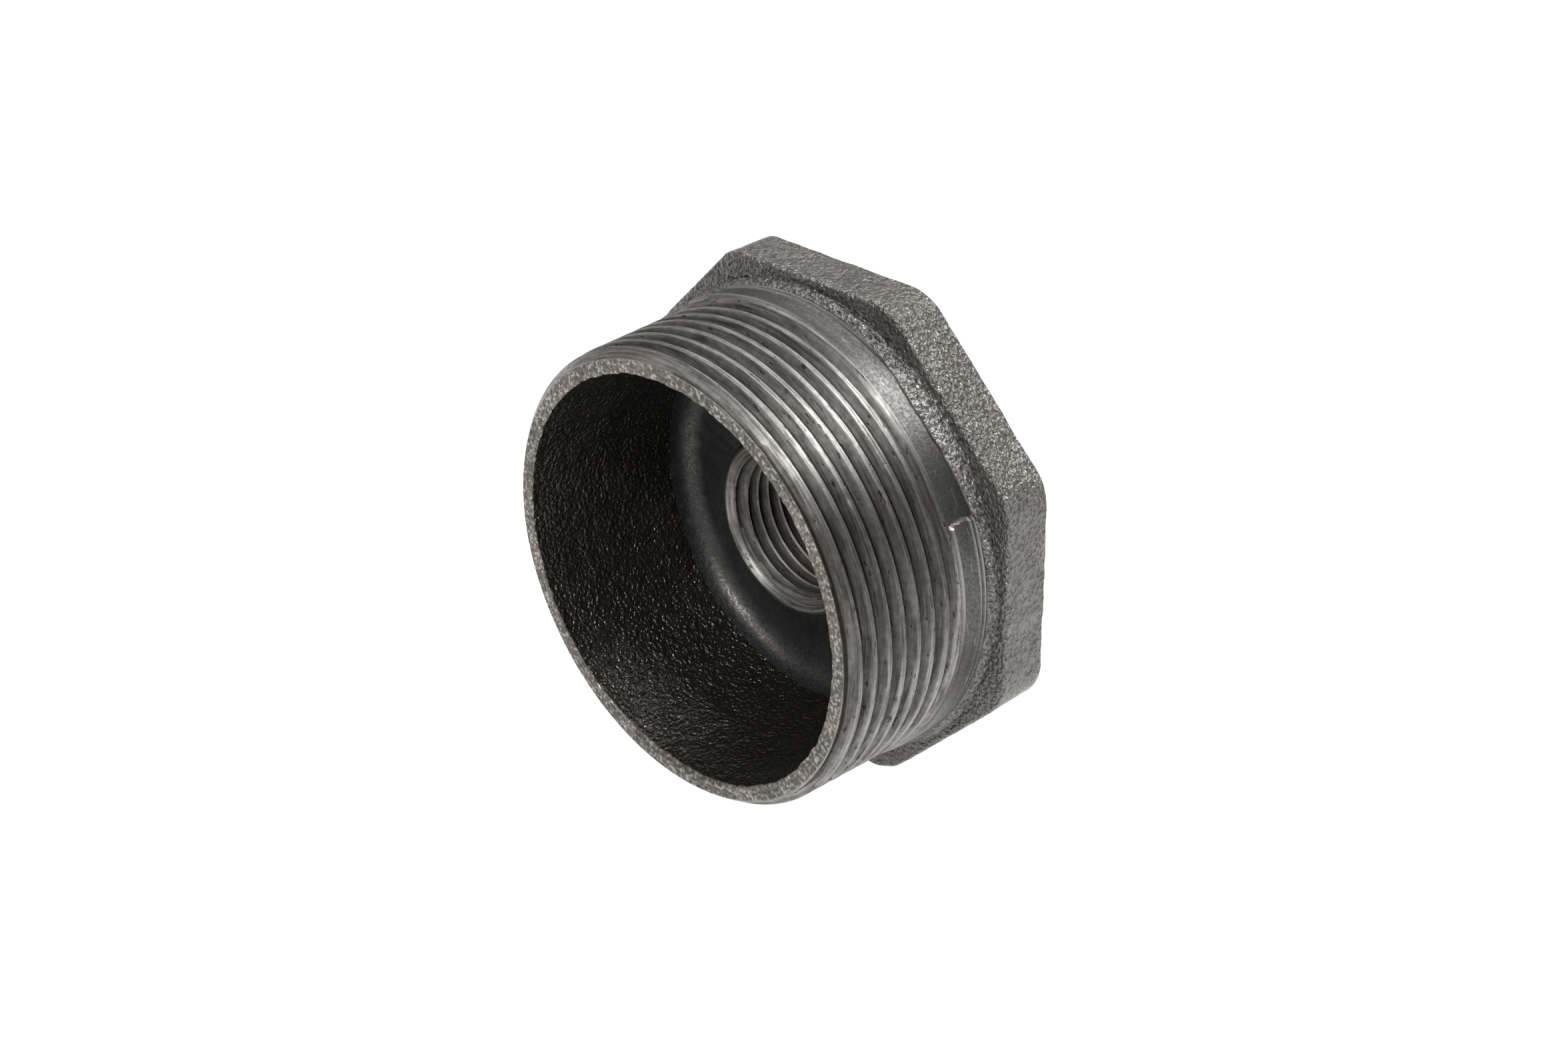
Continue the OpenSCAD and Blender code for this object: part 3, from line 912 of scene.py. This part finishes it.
def faced_rim(name, colours):
    """Malleable iron faced in a lathe and left bare: sandy grey-tan with faint rings from the
    tool, open grain, small bright chips, and the first specks of rust."""
    made, tree, shader, where = start_material(name)
    # Noise read along the distance from the axis alone, so that it makes rings
    flat = node(tree, MAPPING, "Vector", {"Vector": where, "Scale": (1.0, 0.0, 1.0)})
    reach = node(tree, "ShaderNodeVectorMath", "Value", {0: flat}, operation="LENGTH")
    across = node(tree, "ShaderNodeCombineXYZ", "Vector", {"X": reach})
    rings = node(tree, NOISE, "Fac", {"Vector": across, "Scale": per_metre(0.35),
                                      "Detail": 2.0, "Roughness": 0.6})
    # The open grain is about 0.2 mm; drawn at 0.45 mm, so that it shows
    sand = node(tree, NOISE, "Fac", {"Vector": where, "Scale": per_metre(0.45),
                                     "Detail": 2.0, "Roughness": 0.6})
    blotch = node(tree, NOISE, "Fac", {"Vector": where, "Scale": per_metre(3.5),
                                       "Detail": 4.0, "Roughness": 0.6})
    dust = node(tree, NOISE, "Fac", {"Vector": where, "Scale": per_metre(0.5),
                                     "Detail": 2.0, "Roughness": 0.55})
    light = node(tree, RAMP, "Color", {"Fac": sand}, [(0.38, 0.0), (0.56, 1.0)])
    base = node(tree, MIX, MIXED, {"Factor": light, FIRST: darker(colours.rim, 0.42),
                                   SECOND: colours.rim}, data_type="RGBA")
    scored = node(tree, RAMP, "Color", {"Fac": rings}, [(0.3, 0.7), (0.6, 0.0)])
    base = node(tree, MIX, MIXED, {"Factor": scored, FIRST: base, SECOND: colours.cut_dark},
                data_type="RGBA")
    clouds = node(tree, RAMP, "Color", {"Fac": blotch}, [(0.3, 0.3), (0.7, 0.72)])
    base = node(tree, MIX, MIXED, {"Factor": 0.45, FIRST: base, SECOND: clouds},
                data_type="RGBA", blend_type="OVERLAY")
    damp = node(tree, RAMP, "Color", {"Fac": blotch}, [(0.58, 0.0), (0.7, 0.8)])
    grains = node(tree, RAMP, "Color", {"Fac": dust}, [(0.56, 0.0), (0.62, 1.0)])
    specks = node(tree, MATH, 0, {0: damp, 1: grains}, operation="MULTIPLY")
    base = node(tree, MIX, MIXED, {"Factor": specks, FIRST: base, SECOND: colours.rust},
                data_type="RGBA")
    chips = node(tree, RAMP, "Color", {"Fac": sand}, [(0.58, 0.0), (0.64, 1.0)])
    base = node(tree, MIX, MIXED, {"Factor": chips, FIRST: base, SECOND: colours.cut},
                data_type="RGBA")
    dull = node(tree, RAMP, "Color", {"Fac": sand}, [(0.35, 0.6), (0.6, 0.45)])
    shine = node(tree, MIX, MIXED, {"Factor": chips, FIRST: dull, SECOND: (0.3, 0.3, 0.3)},
                 data_type="RGBA")
    height = node(tree, MATH, 0, {0: rings, 1: 1.8, 2: sand}, operation="MULTIPLY_ADD")
    finish_shader(tree, shader, base, shine, 0.6, height, 0.06)
    return made


def finishes(colours):
    """The casting's finishes, in the order of FINISHES."""
    return [
        cast_skin("malleable_iron_sand_cast_skin", colours.skin, colours.skin_dark, colours.cut,
                  metallic=0.6, gloss=0.22, sand_mm=0.5, bump_mm=0.5),
        turned_collar("malleable_iron_turned_collar", colours),
        cut_iron("malleable_iron_die_cut_thread", colours,
                 metallic=0.9, dullness=0.42, streak_mm=0.22, bump_mm=0.03, scratches=0.8),
        faced_rim("malleable_iron_faced_rim", colours),
        # The core's wall and floor take darker copies of the skin's colour: oil, and painted
        # shade for inside the cavity
        cast_skin("malleable_iron_core_wall_painted_shade", colours.cavity, colours.cavity, colours.cut,
                  metallic=0.85, gloss=0.2, sand_mm=0.5, bump_mm=0.42),
        cast_skin("malleable_iron_core_floor_painted_shade", colours.cavity_floor,
                  colours.cavity_floor, colours.cut,
                  metallic=0.85, gloss=0.37, sand_mm=0.7, bump_mm=0.05),
        cut_iron("malleable_iron_tapped_port", colours,
                 metallic=0.85, dullness=0.38, streak_mm=0.2, bump_mm=0.015, scratches=0.2),
    ]


# ---------------------------------------------------------------- operators

class BUSHING_OT_casting(bpy.types.Operator):
    """Builds the casting as one closed surface and gives each surface its finish"""
    bl_idname = "bushing.casting"
    bl_label = "Build casting"

    def execute(self, context):
        scene = context.scene
        shape = Surfaces(scene.bushing_sizes)
        mesh = closed_mesh("bushing_casting", shape.all())
        if not mesh.polygons:
            raise RuntimeError("the casting's surfaces made no faces")
        mark_wear_and_painted_light(mesh, shape)
        for finish in finishes(scene.bushing_colours):
            mesh.materials.append(finish)
        piece = bpy.data.objects.new("bushing_casting", mesh)
        scene.collection.objects.link(piece)
        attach(piece, "root")
        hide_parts("bushing")
        return {"FINISHED"}


# The camera: where it stands in the part's frame, and where it looks
CAMERA_PLACE = (0.17989, -0.18548, 0.13963)
CAMERA_AZIMUTH = 45.96
CAMERA_ELEVATION = 28.98
CAMERA_ROLL = -1.072
CAMERA_LENS = 53.24


def add_camera(scene):
    """The studio's camera, turned by azimuth about Z, then elevation, then roll."""
    data = bpy.data.cameras.new("camera")
    data.lens = CAMERA_LENS
    data.sensor_width = 36.0
    data.sensor_fit = "HORIZONTAL"
    data.clip_start = 0.01
    data.clip_end = 50.0
    data.dof.use_dof = False
    camera = bpy.data.objects.new("camera", data)
    turned = (Matrix.Rotation(math.radians(CAMERA_AZIMUTH), 4, "Z")
              @ Matrix.Rotation(math.radians(90 - CAMERA_ELEVATION), 4, "X")
              @ Matrix.Rotation(math.radians(CAMERA_ROLL), 4, "Z"))
    camera.matrix_world = Matrix.Translation(CAMERA_PLACE) @ turned
    scene.collection.objects.link(camera)
    scene.camera = camera


# Each soft light's name, direction from the part, distance and width in metres, and watts.
# They all face the middle of the part.
SOFTBOXES = (("key_softbox", (0.25, 0.61, 0.75), 0.7, 0.3, 4.4),
             ("front_softbox", (0.3, -0.6, 0.74), 0.9, 0.2, 6.4),
             ("top_fill", (-0.25, 0.1, 1.0), 1.3, 1.6, 13.0))
LIGHTS_AIM = Vector((0.0, -0.015, 0.0))


def add_softbox(scene, name, direction, distance, width, power):
    """A square area light at a distance along a direction, facing the part."""
    data = bpy.data.lights.new(name, "AREA")
    data.shape = "SQUARE"
    data.size = width
    data.energy = power
    lamp = bpy.data.objects.new(name, data)
    towards = Vector(direction).normalized()
    lamp.location = LIGHTS_AIM + towards * distance
    lamp.rotation_euler = towards.to_track_quat("Z", "Y").to_euler()
    scene.collection.objects.link(lamp)


# The dark side of the room lies this way, where the camera stands
DARK_SIDE = (0.6, -0.8, 0.0)


def add_sky(scene):
    """Soft light from all round, as a product of two ramps: one makes it bright overhead and
    dimmer at the horizon, and the other makes it dimmest towards the dark side."""
    world = bpy.data.worlds.new("studio")
    scene.world = world
    world.use_nodes = True
    tree = world.node_tree
    tree.nodes.clear()
    where = node(tree, "ShaderNodeTexCoord", "Generated")
    height = node(tree, "ShaderNodeSeparateXYZ", "Z", {"Vector": where})
    overhead = node(tree, RAMP, "Color", {"Fac": height}, [(0.0, 0.55), (0.15, 0.5), (0.5, 1.0)])
    side = node(tree, "ShaderNodeVectorMath", "Value", {0: where, 1: DARK_SIDE},
                operation="DOT_PRODUCT")
    side = node(tree, MATH, 0, {0: side, 1: 0.5, 2: 0.5}, operation="MULTIPLY_ADD")
    dimmer = node(tree, RAMP, "Color", {"Fac": side}, [(0.2, 0.6), (0.5, 0.3), (0.8, 0.05)])
    shade = node(tree, MIX, MIXED, {"Factor": 1.0, FIRST: overhead, SECOND: dimmer},
                 data_type="RGBA", blend_type="MULTIPLY")
    light = node(tree, "ShaderNodeBackground", 0, {"Color": shade, "Strength": 1.0})
    node(tree, "ShaderNodeOutputWorld", None, {"Surface": light})


FLOOR_RADIUS = 4.0
FLOOR_SIDES = 64
# How brightly the lamps below shine through it, and how much light it reflects, at the
# least and at the most
FLOOR_GLOW = 1.15
FLOOR_REFLECTS = 0.3, 0.32


def add_floor(scene, colours):
    """A plain pale disc that the part lies on. It is opal acrylic lit from below, which looks
    evenly white and keeps the part's shadow faint, with faint broad clouds 40 mm wide."""
    turn = np.linspace(0, TURN, FLOOR_SIDES + 1)[:-1]
    ring = np.stack([FLOOR_RADIUS * np.cos(turn), FLOOR_RADIUS * np.sin(turn),
                     np.full(FLOOR_SIDES, CAD_LOW[2])], axis=-1)
    mesh = bpy.data.meshes.new("studio_floor")
    mesh.from_pydata(ring.tolist(), [], [list(range(FLOOR_SIDES))])
    made, tree, shader, where = start_material("opal_acrylic_light_table")
    clouds = node(tree, NOISE, "Fac", {"Vector": where, "Scale": per_metre(40.0),
                                       "Detail": 2.0, "Roughness": 0.55})
    low, high = (darker(colours.floor, share) for share in FLOOR_REFLECTS)
    base = node(tree, MIX, MIXED, {"Factor": clouds, FIRST: low, SECOND: high},
                data_type="RGBA")
    tree.links.new(base, shader.inputs["Base Color"])
    shader.inputs["Roughness"].default_value = 0.9
    shader.inputs["Specular IOR Level"].default_value = 0.2
    shader.inputs["Emission Color"].default_value = opaque(colours.floor)
    shader.inputs["Emission Strength"].default_value = FLOOR_GLOW
    mesh.materials.append(made)
    floor = bpy.data.objects.new("studio_floor", mesh)
    scene.collection.objects.link(floor)


class BUSHING_OT_studio(bpy.types.Operator):
    """Adds the floor, the soft lights and the camera"""
    bl_idname = "bushing.studio"
    bl_label = "Set up studio"

    def execute(self, context):
        scene = context.scene
        scene.view_settings.view_transform = "Standard"
        add_floor(scene, scene.bushing_colours)
        add_sky(scene)
        for softbox in SOFTBOXES:
            add_softbox(scene, *softbox)
        add_camera(scene)
        if scene.camera is None:
            raise RuntimeError("the studio has no camera")
        return {"FINISHED"}


class BUSHING_PT_panel(bpy.types.Panel):
    """Lists the bushing's operators, sizes and colours"""
    bl_label = "Reducing Bushing"
    bl_idname = "BUSHING_PT_panel"
    bl_space_type = "VIEW_3D"
    bl_region_type = "UI"
    bl_category = "Bushing"

    def draw(self, context):
        layout = self.layout
        layout.operator(BUSHING_OT_casting.bl_idname)
        layout.operator(BUSHING_OT_studio.bl_idname)
        for group, kind in ((context.scene.bushing_sizes, BushingSizes),
                            (context.scene.bushing_colours, BushingColours)):
            box = layout.box()
            for name in kind.__annotations__:
                box.prop(group, name)


CLASSES = (BushingSizes, BushingColours, BUSHING_OT_casting, BUSHING_OT_studio,
           BUSHING_PT_panel)


def register():
    for item in CLASSES:
        bpy.utils.register_class(item)
    bpy.types.Scene.bushing_sizes = PointerProperty(type=BushingSizes)
    bpy.types.Scene.bushing_colours = PointerProperty(type=BushingColours)


def unregister():
    del bpy.types.Scene.bushing_colours
    del bpy.types.Scene.bushing_sizes
    for item in reversed(CLASSES):
        bpy.utils.unregister_class(item)


def main():
    """Registers the add-on, and builds the casting and the studio."""
    register()
    bpy.ops.bushing.casting()
    bpy.ops.bushing.studio()


if __name__ == "__main__":
    main()
